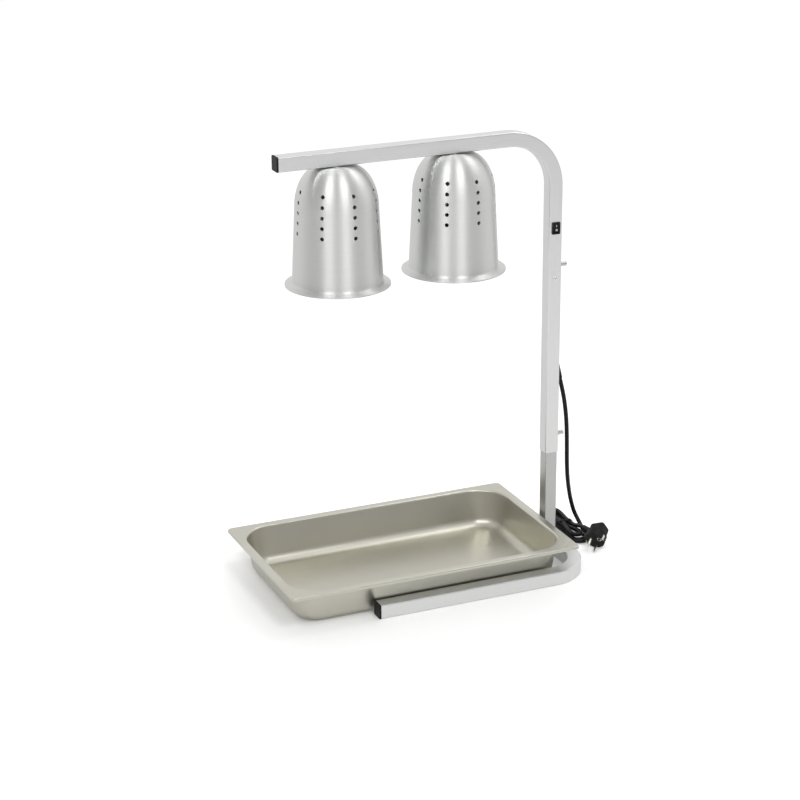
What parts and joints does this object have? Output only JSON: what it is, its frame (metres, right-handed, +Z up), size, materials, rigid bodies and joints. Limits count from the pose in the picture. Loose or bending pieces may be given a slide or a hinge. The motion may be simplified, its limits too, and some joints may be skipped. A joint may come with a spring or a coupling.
{
  "type": "food heat lamp",
  "caption": "Countertop food warmer: a square-tube stand with a height-adjustable column and an arm that hangs bell-shaped heat lamps over a gastronorm pan.",
  "frame": {"origin": "on the table, under the axis of the column", "axes": "+Z up along the column, -X along the arm and the legs, -Y to the switch's side"},
  "size_m": [0.648, 0.329, 0.765],
  "materials": {
    "stand_steel": "satin",
    "post_steel": "satin",
    "screw_steel": "polished",
    "shade_aluminium": "brushed",
    "pan_steel": "satin",
    "black_plastic": "matte",
    "switch_plastic": "gloss",
    "cord_rubber": "matte",
    "plug_rubber": "matte",
    "plated_brass": "polished",
    "brass": "satin",
    "porcelain": "gloss",
    "cap_aluminium": "satin",
    "bulb_glass": "gloss",
    "filament": "satin",
    "lead_sheath": "matte"
  },
  "bodies": {
    "base": {"base_tube": "stand_steel", "base_end_caps": "black_plastic", "lower_post": "post_steel", "post_nut_block": "post_steel", "post_screws": "screw_steel", "cord_drop": "cord_rubber", "cord_hank": "cord_rubber", "cord_tail": "cord_rubber", "hank_tie": "black_plastic", "plug_body": "plug_rubber", "plug_pins": "plated_brass", "plug_earth_clips": "plated_brass"},
    "column": {"sleeve_tube": "stand_steel", "lower_screw_boss": "stand_steel", "joiner_tube": "post_steel", "joiner_rivet": "screw_steel", "cord_gland": "black_plastic", "supply_lead": "lead_sheath"},
    "arm": {"arm_tube": "stand_steel", "arm_end_cap": "black_plastic", "upper_screw_boss": "stand_steel", "switch_housing": "switch_plastic", "switch_tabs": "brass", "lamp_lead_right": "lead_sheath", "arm_nut_right": "screw_steel", "nipple_right": "screw_steel", "shade_right": "shade_aluminium", "shade_nut_right": "screw_steel", "lampholder_right": "porcelain", "holder_shell_right": "brass", "holder_contact_right": "brass", "lamp_lead_left": "lead_sheath", "arm_nut_left": "screw_steel", "nipple_left": "screw_steel", "shade_left": "shade_aluminium", "shade_nut_left": "screw_steel", "lampholder_left": "porcelain", "holder_shell_left": "brass", "holder_contact_left": "brass"},
    "lower_screw": {"lower_thumbscrew": "screw_steel"},
    "upper_screw": {"upper_thumbscrew": "screw_steel"},
    "rocker": {"switch_rocker": "switch_plastic"},
    "bulb_right": {"bulb_cap_right": "cap_aluminium", "bulb_envelope_right": "bulb_glass", "bulb_filament_right": "filament"},
    "bulb_left": {"bulb_cap_left": "cap_aluminium", "bulb_envelope_left": "bulb_glass", "bulb_filament_left": "filament"},
    "tray": {"pan": "pan_steel"}
  },
  "joints": [
    {"name": "column_height", "type": "slide", "parent": "base", "child": "column", "axis": [0, 0, 1], "range_m": [-0.05, 0.045], "deforming": ["cord_drop"]},
    {"name": "arm_height", "type": "slide", "parent": "column", "child": "arm", "axis": [0, 0, 1], "range_m": [0, 0.035], "deforming": ["supply_lead"]},
    {"name": "lower_screw_turn", "type": "hinge", "parent": "column", "child": "lower_screw", "pos_m": [0.02, 0, 0.2125], "axis": [1, 0, 0], "continuous": true},
    {"name": "upper_screw_turn", "type": "hinge", "parent": "arm", "child": "upper_screw", "pos_m": [0.02, 0, 0.522], "axis": [1, 0, 0], "continuous": true},
    {"name": "rocker_tilt", "type": "hinge", "parent": "arm", "child": "rocker", "pos_m": [0, -0.011, 0.591], "axis": [1, 0, 0], "range_deg": [0, 18]},
    {"name": "bulb_right_turn", "type": "hinge", "parent": "arm", "child": "bulb_right", "pos_m": [-0.186, 0, 0.65], "axis": [0, 0, 1], "continuous": true},
    {"name": "bulb_left_turn", "type": "hinge", "parent": "arm", "child": "bulb_left", "pos_m": [-0.396, 0, 0.65], "axis": [0, 0, 1], "continuous": true},
    {"name": "pan_pull", "type": "slide", "parent": "base", "child": "tray", "axis": [-1, 0, 0], "range_m": [0, 0.5]}
  ]
}
